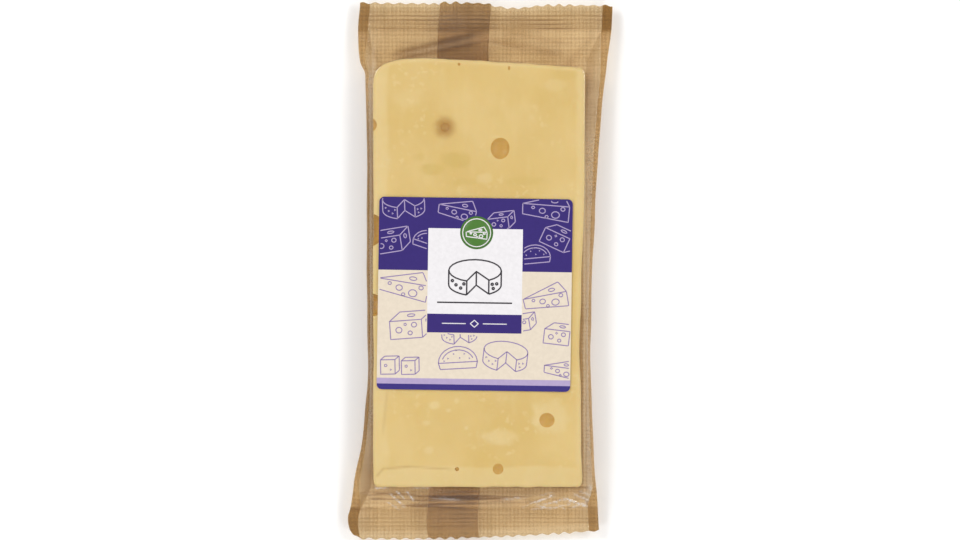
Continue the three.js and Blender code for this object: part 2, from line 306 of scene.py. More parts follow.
# A rounded corner in plan: how far the outline has come in at x, a quarter circle beside each
# long side.
def planCorner(x):
    r = cheese["cornerRadius"]
    past = np.clip(np.abs(x) - halfWide + r, 0, r * 0.9999)
    return r - np.sqrt(r * r - past ** 2)


# The rind end's y at x: right of the crest it falls as a power of the distance, and left of the
# crest it is a flat-topped arc.
def rindEnd(x):
    crest = cheese["crestX"]
    right = np.clip((x - crest) / (halfWide - crest), 0, 1) ** 1.2 * cheese["rindDrop"]
    toLeft = np.clip((crest - x) / (crest + halfWide), 0, 1) ** 3
    shoulder = cheese["shoulder"] * (1 - (1 - toLeft) ** (1 / 3))
    return halfLong - right - shoulder - np.where(x > 0, planCorner(x), 0)


# The slab is a rounded rectangle carried along y. At each end it runs round a small edge, then
# shrinks to a line.
def cheeseSurface():
    gap, r = cheese["grid"], cheese["edgeRadius"]
    half = (slabTop - slabBottom) / 2
    arc = np.linspace(0, math.pi / 2, 5)[1:-1]
    across = np.linspace(-halfWide + r, halfWide - r, int(2 * halfWide / gap))
    upright = np.linspace(-half + r, half - r, int(2 * half / gap))
    top = np.stack([across, np.full_like(across, half)], -1)
    right = np.stack([np.full_like(upright, halfWide), upright[::-1]], -1)
    corner = np.stack([halfWide - r + r * np.sin(arc), half - r + r * np.cos(arc)], -1)
    low = corner[::-1] * [1, -1]
    bottom = (top * [1, -1])[::-1]
    mirrored = [(part * [-1, 1])[::-1] for part in (low, right, corner)]
    ring = np.concatenate([top, corner, right, low, bottom, *mirrored])
    # rows: share along the length, distance before the end, and how far the ring has shrunk
    turn = np.linspace(0, math.pi / 2, 6)
    caps = np.linspace(r, half, int((half - r) / gap))
    body = np.linspace(0, 1, int(2 * halfLong / gap))
    roundIn, roundBack = r * (1 - np.cos(turn[1:])), r * (1 - np.sin(turn[1:]))
    atEnd = len(caps) + len(roundIn)
    share = np.concatenate([np.zeros(atEnd), body, np.ones(atEnd)])
    inset = np.concatenate([caps[::-1], roundIn[::-1], 0 * body, roundIn, caps])
    before = np.concatenate([0 * caps, roundBack[::-1], 0 * body + r, roundBack, 0 * caps])
    x = ring[None, :, 0] * (1 - inset[:, None] / halfWide)
    z = ring[None, :, 1] * (1 - inset[:, None] / half)
    end = rindEnd(x) - before[:, None]
    start = -halfLong + before[:, None] + cheese["cornerShare"] * planCorner(x)
    y = start + (end - start) * share[:, None]
    points = np.stack([x, y, z + half + slabBottom], -1)
    # relief: the face rolls off towards the plain end and the sides, and all of it is a little uneven
    lift = ease(z, 0.3 * half, half)

    def rollOff(q, end, roll):
        depth, reach = roll
        return depth * ease(q, end - reach, end) ** 1.5

    fall = (rollOff(-y, halfLong, cheese["footRoll"]) + rollOff(-x, halfWide, cheese["leftRoll"])
            + rollOff(x, halfWide, cheese["rightRoll"]))
    points[..., 2] -= lift * (fall + 0.1 + 0.08 * waves(x, y, 26, 3) + 0.03 * waves(x, y, 5, 4))
    side = ease(np.abs(x), 0.8 * halfWide, halfWide)
    points[..., 0] += np.sign(x) * side * (0.16 * waves(y, z * 2, 34, 5) - 0.2)
    # the right side comes in towards the plain end
    depth, fadeLow, fadeHigh = cheese["hollow"]
    hollow = depth * (1 - ease(y, fadeLow, fadeHigh))
    depth, middle, wide = cheese["dent"]
    hollow = hollow + depth * np.exp(-((y - middle) / wide) ** 2)
    depth, fadeLow, fadeHigh = cheese["footCorner"]
    hollow = hollow - depth * (1 - ease(y, fadeLow, fadeHigh))
    points[..., 0] -= hollow * ease(x, 0.4 * halfWide, halfWide)
    points[..., 1] += np.sign(y) * ease(np.abs(y), halfLong - 12, halfLong) * 0.1 * waves(x, z, 9, 6)
    rows, columns = points.shape[:2]
    faces = gridFaces(rows, columns, wrapped=True)
    # the first and last ring are each folded flat: a point below takes the number of the one above
    points[[0, -1], :, 2] = half + slabBottom
    pairs = np.lexsort((ring[:, 1], np.round(ring[:, 0], 6))).reshape(-1, 2)
    keep = np.arange(rows * columns)
    for first in (0, (rows - 1) * columns):
        keep[first + pairs[:, 0]] = first + pairs[:, 1]
    return points.reshape(-1, 3), keep[faces]


# Balls with slightly uneven walls, one for each eye, as one mesh: rows of latitude from pole to
# pole. An open eye's ball has the radius of the cap with that opening and depth: half the
# opening squared and the depth squared, added up, over twice the depth.
def eyeBalls():
    balls = []
    for x, y, half, depth, stretch in cheese["openEyes"]:
        radius = (half ** 2 + depth ** 2) / (2 * depth)
        balls.append((x, y, slabTop - 0.1 - depth + radius, radius, stretch))
    for x, y, depth, radius, stretch in cheese["sideEyes"]:
        balls.append((x, y, slabTop - depth, radius, stretch))
    points, faces = [], []
    rows, columns = 25, 44
    for number, (x, y, z, radius, stretch) in enumerate(balls):
        up = np.linspace(0, math.pi, rows)[:, None]
        around = np.arange(columns)[None, :] * math.tau / columns
        unit = np.stack([np.sin(up) * np.cos(around), np.sin(up) * np.sin(around),
                         np.cos(up) + 0 * around], -1)
        bumps = waves(2.2 * unit[..., 0], 2.2 * unit[..., 1], 4, 40 + number)
        size = radius * (1 + 0.03 * np.sin(up) ** 2 * bumps)
        ball = unit * size[..., None] * [1, stretch, 1] + [x, y, z]
        here = gridFaces(rows, columns, wrapped=True)
        pole = np.arange(rows * columns)
        pole[:columns], pole[-columns:] = 0, (rows - 1) * columns
        faces.append(pole[here] + number * rows * columns)
        points.append(ball.reshape(-1, 3))
    return np.concatenate(points), np.concatenate(faces)


# Shares of pale and deep colour and of painted shade at points of the face: soft ovals with wandering
# outlines, paler margins where the film stands off, which are a painted reflection, and painted shade
# round the deep eye and along the lines where the film leaves the cheese.
def fleshShares(points):
    x, y = points[:, 0], points[:, 1]

    def patches(kind):
        share = np.zeros(len(x))
        for number, (px, py, wide, tall, strength) in enumerate(cheese[kind]):
            away = np.hypot((x - px) / wide, (y - py) / tall)
            away = away + 0.1 * waves(x, y, 5, 200 + number, count=6)
            share = np.maximum(share, strength * (1 - ease(away, 0.55, 1.15)))
        return share

    wander = 0.8 * waves(x, y, 30, 12) + 0.2 * waves(x, y, 7, 13)
    # painted reflection: the margins are paler where the film stands off the cheese
    left = 1 - ease(x + halfWide + wander, 4.6, 6.6)
    right = 1 - ease(halfWide - x + 0.6 * wander, 2.4, 4.6)
    foot = 1 - ease(y + halfLong + 0.6 * wander, 7.2, 8.6)
    rind = 1 - ease(rindEnd(x) - y, 0.6, 2.4)
    pale = np.maximum(patches("palePatches"), 0.62 * np.max([left, right, foot, rind], axis=0))
    # painted shade: darker round the deep eye, and along the lines where the film leaves the cheese
    hx, hy, start, end = cheese["halo"]
    shade = 1 - ease(np.hypot(x - hx, y - hy) + 0.2 * waves(x, y, 4, 14), start, end)
    line = sum(crease(x, y, *path) for path in cheese["contour"])
    return pale, np.clip(patches("deepPatches"), 0, 1), np.clip(0.95 * shade + 0.5 * line, 0, 1)


# Straw flesh: large soft patches, pale flecks, the shares worked out above (a painted reflection at the
# margins, painted shade round the deep eye and along the contour lines), and a fine bump.
def fleshMaterial():
    material, tree = newMaterial("cheese flesh")
    share = {key: mark(tree, key) for key in ("pale", "deep", "shade")}
    patches = remap(tree, noise(tree, 45, 4), 0.35, 0.65)
    base = blend(tree, patches, cheese["flesh"], cheese["fleshDeep"])
    streaks = remap(tree, noise(tree, 120, 3, (1, 0.45, 1), seed=3.0), 0.52, 0.72, 0.0, 0.35)
    base = blend(tree, streaks, base, cheese["bloom"])
    flecks = remap(tree, noise(tree, 420, 2, seed=5.0), 0.56, 0.66, 0.0, 0.6)
    zone = remap(tree, noise(tree, 55, 2, seed=8.0), 0.5, 0.62)
    base = blend(tree, maths(tree, "MULTIPLY", flecks, zone), base, cheese["bloom"])
    mottle = remap(tree, noise(tree, 160, 3, seed=6.0), 0.3, 0.65, 0.7, 1.0)
    base = blend(tree, maths(tree, "MULTIPLY", share["deep"], mottle), base, cheese["patch"])
    # pale patches, and the painted reflection at the margins
    base = blend(tree, maths(tree, "MULTIPLY", share["pale"], mottle), base, cheese["paleAndReflection"])
    # painted shade round the deep eye and along the film's contour lines
    base = blend(tree, share["shade"], base, cheese["shade"])
    fine = noise(tree, 900, 4, rough=0.6, seed=2.0)
    grain = node(tree, "ShaderNodeBump", {"Height": fine, "Strength": 0.12, "Distance": 0.0004})
    surface = node(tree, "ShaderNodeBsdfPrincipled", {
        "Base Color": base,
        "Roughness": remap(tree, fine, 0.3, 0.7, 0.42, 0.56),
        "Normal": grain.outputs[0],
        "Specular IOR Level": 0.3,
        "Subsurface Weight": 0.25,
        "Subsurface Radius": (1.0, 0.55, 0.2),
        "Subsurface Scale": 0.003,
    })
    finishWith(tree, surface)
    return material


# The eyes' walls: shiny and amber, a little darker in patches, with painted shade: darker than the flesh
# inside the holes, and darker still round the deep eye.
def eyeMaterial():
    material, tree = newMaterial("eye wall")
    tone = remap(tree, noise(tree, 260, 3), 0.3, 0.7)
    base = blend(tree, tone, cheese["eyeWallShaded"], cheese["eyeWallShadedDeep"])
    # painted shade round the deep eye
    base = blend(tree, mark(tree, "shade"), base, cheese["deepEyeShade"])
    grain = node(tree, "ShaderNodeBump", {
        "Height": noise(tree, 500, 2), "Strength": 0.2, "Distance": 0.0004,
    })
    surface = node(tree, "ShaderNodeBsdfPrincipled", {
        "Base Color": base,
        "Roughness": 0.4,
        "Normal": grain.outputs[0],
        "Specular IOR Level": 0.3,
        "Subsurface Weight": 0.3,
        "Subsurface Radius": (1.0, 0.5, 0.15),
        "Subsurface Scale": 0.003,
    })
    finishWith(tree, surface)
    return material


fleshFinish, eyeFinish = fleshMaterial(), eyeMaterial()
slab = makePiece("cheese_surface", *cheeseSurface(), [fleshFinish, eyeFinish])
balls = makePiece("eye_balls", *eyeBalls(), [eyeFinish])
# the balls are cut out of the slab, and their walls keep their own finish
cut = slab.modifiers.new("eyes", "BOOLEAN")
cut.operation = "DIFFERENCE"
cut.solver = "EXACT"
cut.object = balls
cut.material_mode = "TRANSFER"
holed = bpy.data.meshes.new_from_object(slab.evaluated_get(bpy.context.evaluated_depsgraph_get()))
slab.modifiers.clear()
slab.data = holed
places = np.empty(3 * len(holed.vertices), dtype=np.float32)
holed.vertices.foreach_get("co", places)
shares = fleshShares(places.reshape(-1, 3) * 1000.0 - slabMiddle)
for key, share in zip(("pale", "deep", "shade"), shares):
    setMark(holed, key, share)
bpy.data.objects.remove(balls)
bpy.context.view_layer.objects.active = slab
slab.select_set(True)
bpy.ops.object.shade_smooth_by_angle(angle=math.radians(50))
slab.select_set(False)
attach(slab, "root")
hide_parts("cheese_slab")
print("cheese made:", len(holed.polygons), "faces")


wrap = {
    "spacing": 0.45,  # of the film's points across the pack
    "filmInside": 0.21,  # from the wrap's middle line to a film's inner face
    "filmOutside": 0.33,
    "waistRound": 1.2,  # radius of the fold along the slab's sides
    "crimpRound": 0.35,  # the same where the tube is flat
    "edgeRound": 1.4,  # of the film over the slab's edges
    "flatWidth": 101.2,  # of the flattened tube
    "sideGirth": 8.5,
    "windowInset": 4.0,  # from a fold to the seam between window and strip, along the film
    "seamGap": 0.08,  # half the gap at that seam
    "lapWidth": 20.5,
    "lapOffset": -8.4,
    "crimpHeight": 6.5,
    "crimpDroop": 1.5,
    "crimpPitch": 1.7,
    "crimpDepth": 0.1,
    "toothPitch": 4.6,
    "toothDepth": 0.9,
    "dipX": 14.0,  # where the rind end's cut dips, and half how wide
    "dipWidth": 8.5,
    "roundWide": 5.5,  # of the round corner at the left of the plain end, across and along
    "roundLong": 5.0,
    "tuck": 0.27,  # how far the left strip goes under the right one at the lap
    "lapExtra": 0.5,  # how much longer the lap is cut
    "laidScale": 205.0,  # ribs 1.5 mm apart
    "ribs": 0.11,  # how strong the ribs, the finer streaks and the soft clouds are
    "streaks": 0.28,
    "clouds": 0.3,
    "tanBody": 0.3,  # share of each skin of the tan film that isn't see-through
    "bondAndShadeBody": 0.4,  # the same where the film is bonded or folded, darkened with painted shade
    # how much of the bonded look and painted shade each strip has: over its side, the side's middle, its
    # face, and the crimps at the rind end and the plain end
    "leftBondAndShade": (0.34, 0.26, 0.4, 0.3, 0.4),
    "rightBondAndShade": (0.22, 0.0, 0.1, 0.6, 0.25),
    # each skin's colour and what it lets through: dark and light threads, painted light, bonded film with
    # painted shade, and painted shade along creases
    "bodyDark": colour(201, 173, 131),
    "bodyLight": colour(232, 208, 167),
    # painted light: the lighter colours laid on where the film is painted lit
    "bodyLit": colour(243, 215, 175),
    "bodyBondAndShade": colour(158, 122, 69),
    # painted shade along creases, wrinkles and the seal's ridges
    "bodyLine": colour(129, 91, 50),
    "tintDark": colour(239, 229, 207),
    "tintLight": colour(253, 247, 230),
    "tintLit": colour(254, 249, 234),
    "tintBondAndShade": colour(222, 200, 149),
    "tintLine": colour(184, 149, 97),
    # how far each fold stands off the slab's side, at places along the pack
    "leftPlaces": [-107, -102, -98, -95, -83, -71, -59, -47, -29, 13, 49, 67, 81, 83.8, 90, 100, 107],
    "leftStand": [8.9, 10.2, 10.2, 9.1, 7.4, 4.8, 3.2, 2.1, 2.0, 2.4, 2.4, 2.8, 3.1, 5.4, 6.0, 6.1, 5.3],
    "rightPlaces": [-107, -95, -83, -71, -47, -29, -11, 13, 31, 49, 67, 85, 90, 98, 107],
    "rightStand": [5.8, 5.2, 4.4, 3.6, 2.4, 2.0, 2.4, 3.6, 4.4, 5.6, 7.2, 9.2, 9.8, 10.8, 11.2],
}
# each crimp runs from its inner line to the cut, which slants, bows and dips
rindCrimp = {"inner": halfLong + 12.4, "cut": halfLong + 22.2, "slant": 1.1, "bow": 0.0, "dip": 1.5}
plainCrimp = {"inner": halfLong + 9.4, "cut": halfLong + 19.4, "slant": 3.4, "bow": -1.25, "dip": 0.0}
backHeight = wrap["filmOutside"]
foldMiddle = (backHeight + slabTop) / 2


# Stand-off of a fold at y: straight lines between the places, then softened with a bell curve.
def standOff(y, places, stand):
    fine = np.arange(-125, 125.5, 0.5)
    bell = np.exp(-0.5 * (np.arange(-12, 13) * 0.5 / 1.3) ** 2)
    soft = np.convolve(np.pad(np.interp(fine, places, stand), 12, "edge"), bell / bell.sum(), "valid")
    return np.interp(y, fine, soft)


# Share of the fall from the slab's height to the crimp's at x, y: straight from the end of the
# cheese to the crimp, softened at both.
def fallShare(x, y):
    rind = rindEnd(np.clip(x, -halfWide, halfWide))
    r = wrap["edgeRound"]
    up = (ramp(y - rind, r) - ramp(y - rindCrimp["inner"], r)) / (rindCrimp["inner"] - rind)
    down = (ramp(-y - halfLong, r) - ramp(-y - plainCrimp["inner"], r)) / (plainCrimp["inner"] - halfLong)
    return np.clip(up + down, 0, 1)


# How far y is past a crimp's inner line: below zero before it.
def pastCrimp(y):
    return np.abs(y) - np.where(y > 0, rindCrimp["inner"], plainCrimp["inner"])


# How far the seal's ridges sway from straight lines: soft random waves.
def ridgeSway(x, y):
    return 0.12 * waves(x, y, 30, 21)


# Height of the flat crimp: it droops evenly towards the cut.
def crimpLevel(y):
    rindBand, plainBand = (crimp["cut"] - crimp["inner"] for crimp in (rindCrimp, plainCrimp))
    share = np.maximum(pastCrimp(y), 0) / np.where(y > 0, rindBand, plainBand)
    return wrap["crimpHeight"] - wrap["crimpDroop"] * share


# Ridges of the seal: a cosine along the pack, fading in at the inner line and out near the cut.
def ridges(x, y):
    past = pastCrimp(y)
    worn = ease(past, 0.2, 1.0) * (1 - ease(past, 5.0, 6.4)) * np.where(y > 0, 1.0, 0.4)
    turn = math.tau * (past + ridgeSway(x, y)) / wrap["crimpPitch"]
    return worn * wrap["crimpDepth"] * 0.5 * np.cos(turn)


# The scalloped knife's line at x: a slanting line, a bow, a dip and a cosine for the teeth, with
# a rounded corner at the left of the plain end.
def cutLine(x, crimp, sign, leftFold):
    across = x / (wrap["flatWidth"] / 2)
    sway = 0.5 * waves(x, 0 * x + sign, 26, 23)
    tooth = wrap["toothDepth"] / 2 * np.cos(math.tau * (x + sway) / wrap["toothPitch"])
    tooth = tooth * (0.75 + 0.25 * waves(x, 0 * x + sign, 17, 24))
    dip = crimp["dip"] * np.exp(-((x - wrap["dipX"]) / wrap["dipWidth"]) ** 2)
    bow = crimp["bow"] * (1 - np.minimum(1, across ** 2))
    line = crimp["cut"] - crimp["slant"] / 2 * across - bow - dip + tooth
    if sign < 0:
        corner = np.clip((leftFold + wrap["roundWide"] - x) / wrap["roundWide"], 0, 0.995)
        line = line - wrap["roundLong"] * (1 - np.sqrt(1 - corner ** 2))
    return line


# The lines that a section hangs on, at each row's place along the pack: the folds and their
# height, the edges where the film turns over the slab, the lap's middle, and how near the crimp is.
def stationLines(y):
    left = -halfWide - standOff(y, wrap["leftPlaces"], wrap["leftStand"])
    right = halfWide + standOff(y, wrap["rightPlaces"], wrap["rightStand"])
    inner = np.where(y > 0, rindCrimp["inner"], plainCrimp["inner"])
    toCrimp = np.clip((np.abs(y) - halfLong) / (inner - halfLong), 0, 1)
    fold = foldMiddle + (wrap["crimpHeight"] - foldMiddle) * ease(np.abs(y), 40, halfLong + 10)
    fold = fold + (crimpLevel(y) - wrap["crimpHeight"])
    return {
        "y": y, "left": left, "right": right, "fold": fold, "toCrimp": toCrimp,
        "edgeLeft": -halfWide + (left + wrap["sideGirth"] + halfWide) * toCrimp,
        "edgeRight": halfWide + (right - wrap["sideGirth"] - halfWide) * toCrimp,
        "lap": (left + right) / 2 + wrap["lapOffset"],
    }


# Heights of the film over the face and along the back: each goes to the crimp's by the share of
# the fall.
def faceHeight(x, y):
    return slabTop + (crimpLevel(y) - slabTop) * fallShare(x, y)


def backLevel(x, y):
    return backHeight + (crimpLevel(y) - backHeight) * fallShare(x, y)


creases = {  # start, end, half width, height
    "face": [
        ((-36, -88), (-29.5, -94.5), 0.45, 0.6), ((-33.4, -87), (-29.6, -91), 0.35, 0.6),
        ((-29.5, -87), (-25.6, -92), 0.4, 0.55), ((-37.5, -91.6), (-31.5, -95.4), 0.35, 0.4),
        ((-42.6, -86.3), (-35.5, -86.1), 0.3, 0.45), ((-28, -86.2), (-18, -86.1), 0.25, 0.25),
        ((22, -92.5), (31, -88.5), 0.45, 0.6), ((22.4, -93.2), (27, -94.2), 0.35, 0.5),
        ((25, -93.4), (36, -90.4), 0.4, 0.45), ((33, -90.2), (45.5, -94.5), 0.5, 0.8),
        ((37, -88.2), (47, -92.8), 0.4, 0.4),
        ((40, -87.2), (46, -90.4), 0.4, 0.35), ((8, -91), (20, -90), 0.6, 0.22),
        ((17, -94.4), (25, -90.8), 0.35, 0.35), ((20, -95.2), (31, -94.0), 0.3, 0.3),
        ((27, -95.2), (38, -92.6), 0.35, 0.4), ((30, -91.4), (35, -95.4), 0.3, 0.35),
        ((36, -94.8), (44, -91.6), 0.35, 0.4), ((24, -89.4), (30, -87.6), 0.3, 0.3),
        ((-20, -90), (-6, -91.4), 0.6, 0.2), ((44, -84), (46, -95), 0.6, 0.35),
        ((43, 84), (50, 96), 1.6, 0.4), ((38, 84), (46, 97), 1.4, 0.25),
        ((-42, 84), (-46, 96), 1.4, 0.3), ((-38, 86), (-44, 97), 1.4, 0.2),
        ((-30, 90), (-10, 96), 1.6, 0.15), ((10, 88), (24, 96), 1.6, 0.12),
    ],
    "back": [
        ((-38, 87.3), (4.6, 97.2), 1.2, -1.1), ((-36, 85.8), (4.4, 93.6), 0.9, 0.8),
        ((-26, 97.4), (3.4, 96.9), 0.5, -0.5), ((2, 93.6), (20, 89.6), 0.9, -0.5),
        ((-40, 84), (-47, 97), 1.0, 0.3), ((34, 82), (47, 97), 1.4, 0.3),
        ((-22, -89), (2, -88), 0.5, -0.5), ((-26, -91.4), (10, -90.6), 0.5, 0.45),
        ((-16, -93.2), (30, -92.4), 0.45, -0.4), ((2, -88.6), (34, -89.6), 0.5, 0.4),
        ((-44, -86), (-50, -96), 1.0, 0.7), ((40, -87), (46, -96), 1.0, 0.7),
        ((5, 95.6), (36, 86.8), 1.5, 0.35), ((8, 97), (40, 91.4), 1.2, -0.3),
    ],
}


# How loose the film is: one beyond the cheese, falling to nothing over it, at the crimps and by
# the folds.
def looseness(x, y, lines):
    end = np.where(y > 0, rindEnd(np.clip(x, -halfWide, halfWide)), halfLong)
    away = ease(np.abs(y), end + 0.2, end + 3.0) * (1 - ease(pastCrimp(y), -2.5, 0.3))
    return away * (1 - ease(np.abs(x - (lines["left"] + lines["right"]) / 2), 40, 48))


# Wrinkles of the loose film: the creases above added up, and long and short random waves.
def wrinkles(x, y, kind, lines):
    seed = 60 if kind == "face" else 70
    drawn = 0.09 * waves(x, y, 7.0, seed, stretchY=0.35)
    drawn = drawn + 0.03 * waves(x, y, 2.4, seed + 1, stretchY=0.4)
    total = sum(crease(x, y, *line) for line in creases[kind]) + np.where(y > 0, 0.35, 1.0) * drawn
    return total * looseness(x, y, lines)


# Places of the rows along the pack: close together over the crimps and the loose film, and wide
# apart over the cheese.
def rowPlaces():
    stops = [-plainCrimp["cut"], -plainCrimp["inner"], 3 - halfLong, halfLong - 14,
             rindCrimp["inner"], rindCrimp["cut"]]
    spans = [np.linspace(low, high, count)[1:]
             for low, high, count in zip(stops, stops[1:], (34, 38, 56, 62, 32))]
    return np.concatenate([stops[:1], *spans])[:, None]


# Rows in the crimps are spread evenly between the crimp's inner line and the scalloped cut.
def cutToLength(x, y, lines, extra=0.0):
    for crimp, sign in ((rindCrimp, 1), (plainCrimp, -1)):
        share = np.clip((sign * y - crimp["inner"]) / (crimp["cut"] - crimp["inner"]), 0, 1)
        line = cutLine(x, crimp, sign, lines["left"]) + extra * (sign > 0)
        y = np.where(share > 0, sign * (crimp["inner"] + share * (line - crimp["inner"])), y)
    return y


# Thin dark lines of painted shade, as a share for the material: a bell across each ridge of the seal, and
# the long creases of the back film.
def darkLines(x, y):
    past = pastCrimp(y) + ridgeSway(x, y)
    nearest = np.abs((past / wrap["crimpPitch"] + 0.5) % 1 - 0.5) * wrap["crimpPitch"]
    worn = ease(past, -0.6, 0.2) * (1 - 0.8 * ease(past, 4.6, 5.6)) * (1 - ease(past, 7, 8))
    worn = worn * np.where(y > 0, 1.0, 0.3) * (0.6 + 0.4 * waves(x, y * 4, 26, 33))
    crimped = np.exp(-(nearest / 0.22) ** 2) * worn
    folded = sum(np.abs(crease(x, y, *line)) for line in creases["back"]) * (1 - ease(past, 0, 1))
    return np.clip(crimped + np.where(y > 0, 0.45, 0.36) * folded, 0, 1)


# A film is a section at every row, thickened along its own outward direction.
def filmGrid(x, y, z, angle, push, low, high):
    x, y, z, angle, push, low, high = np.broadcast_arrays(x, y, z, angle, push, low, high)

    def skin(out):
        return np.stack([x + out * np.cos(angle), y, z + out * np.sin(angle)], -1)

    return shellOf(skin(push + low), skin(push + high))


# The window goes from one inset to the other over the face: up the side, over the edge, across,
# and down again. s is the distance from the left fold.
def windowSurface():
    y = rowPlaces()
    lines = stationLines(y)
    r = wrap["edgeRound"]
    riseLeft = faceHeight(lines["edgeLeft"], y) - lines["fold"]
    riseRight = faceHeight(lines["edgeRight"], y) - lines["fold"]
    sideLeft = np.hypot(lines["edgeLeft"] - lines["left"], riseLeft)
    sideRight = np.hypot(lines["right"] - lines["edgeRight"], riseRight)
    across = lines["edgeRight"] - lines["edgeLeft"]
    total = sideLeft + across + sideRight
    inset = wrap["windowInset"] + wrap["seamGap"]
    share = np.linspace(0, 1, int(wrap["flatWidth"] / wrap["spacing"]))[None, :]
    s = inset + share * (total - 2 * inset)
    slopeLeft = (lines["edgeLeft"] - lines["left"]) / sideLeft
    slopeRight = (lines["right"] - lines["edgeRight"]) / sideRight
    x = (lines["left"] + slopeLeft * s + (1 - slopeLeft) * ramp(s - sideLeft, r)
         + (slopeRight - 1) * ramp(s - sideLeft - across, r))
    climb = (s - ramp(s - sideLeft, r)) / sideLeft
    descend = (total - s - ramp(total - s - sideRight, r)) / sideRight
    z = lines["fold"] + (faceHeight(x, y) - lines["fold"]) * climb * descend
    leanLeft = np.arccos(np.clip(slopeLeft, -1, 1)) * np.sign(riseLeft + 1e-9)
    leanRight = np.arccos(np.clip(slopeRight, -1, 1))
    angle = (math.pi / 2 + leanLeft * (1 - step(s - sideLeft, r))
             - leanRight * step(s - sideLeft - across, r))
    y = cutToLength(x, np.broadcast_to(y, x.shape), lines)
    z = z + ridges(x, y)
    # painted glints along the creases of the face film at the plain end
    paintedGlint = sum(np.abs(crease(x, y, *line)) for line in creases["face"]) * ease(-y, 84, 86)
    over = 0.05 * waves(x, y, 16, 80) * ease(halfWide - np.abs(x), 0, 8)
    over = np.maximum(over, -0.06) * (1 - ease(np.abs(y), halfLong, halfLong + 4))
    push = wrinkles(x, y, "face", lines) + over
    marks = {"paintedGlint": np.tile(np.clip(paintedGlint * 1.6, 0, 1).ravel(), 2)}
    return filmGrid(x, y, z, angle, push, wrap["filmInside"], wrap["filmOutside"]), marks


# A paper strip from its edge on the back, round the slab's side, to the window. It is worked out
# for the left side, and turned over for the right. q is the distance from the fold: above zero
# on the face, below zero on the back.
def stripSurface(side):
    y = rowPlaces()
    lines = stationLines(y)
    isLeft = side < 0
    lapLow = lines["lap"] - wrap["lapWidth"] / 2
    lapHigh = lines["lap"] + wrap["lapWidth"] / 2
    if isLeft:
        fold, edge, lapEnd = lines["left"], lines["edgeLeft"], lapHigh
    else:
        fold, edge, lapEnd = -lines["right"], -lines["edgeRight"], -lapLow
    r = wrap["edgeRound"]
    rounding = wrap["crimpRound"] + (wrap["waistRound"] - wrap["crimpRound"]) * (1 - lines["toCrimp"]) ** 2
    face = faceHeight(-edge, y)
    back = backLevel(edge if isLeft else -edge, y)
    sideFace = np.hypot(edge - fold, face - lines["fold"])
    sideBack = np.hypot(edge - fold, lines["fold"] - back)
    reach = sideBack + lapEnd - edge
    inset = wrap["windowInset"] - wrap["seamGap"]
    columns = int((reach.mean() + wrap["windowInset"]) / wrap["spacing"])
    q = inset - np.linspace(0, 1, columns)[None, :] * (reach + inset)
    slopeFace = (edge - fold) / sideFace
    slopeBack = (edge - fold) / sideBack
    x = (fold + slopeFace * ramp(q, rounding) + slopeBack * ramp(-q, rounding)
         + (1 - slopeBack) * ramp(-q - sideBack, r))
    trueX = x if isLeft else -x
    down = (ramp(-q, rounding) - ramp(-q - sideBack, r)) / sideBack
    z = (lines["fold"] + (face - lines["fold"]) * ramp(q, rounding) / sideFace
         + (backLevel(trueX, y) - lines["fold"]) * down)
    leanFace = math.pi / 2 - np.arccos(np.clip(slopeFace, -1, 1))
    leanBack = np.arccos(np.clip(slopeBack, -1, 1))
    angle = (math.pi - leanFace * step(q, rounding) + (math.pi / 2 - leanBack) * step(-q, rounding)
             + leanBack * step(-q - sideBack, r))
    lapped = ease(trueX, lapLow - 0.2, lapLow + 0.2) * (1 - ease(trueX, lapHigh - 0.2, lapHigh + 0.2))
    y = np.broadcast_to(y, x.shape)
    y = cutToLength(trueX, y, lines, wrap["lapExtra"] * lapped * (q < 0))
    onBack = step(-q - sideBack, r)
    push = -0.8 * wrinkles(trueX, y, "back", lines) * onBack
    push = push + 0.18 * waves(y, q, 24, 90 + side) * (1 - onBack) * (1 - lines["toCrimp"])
    z = z + ridges(trueX, y)
    under = wrap["tuck"] * ease(trueX, lapLow - 4.2, lapLow - 0.3) if isLeft else 0.0
    if not isLeft:
        x, angle = -x, math.pi - angle
    marks = stripMarks(trueX, y, q, lines, sideBack, isLeft)
    return filmGrid(x, y, z, angle, push, wrap["filmInside"] - under, wrap["filmOutside"] - under), marks


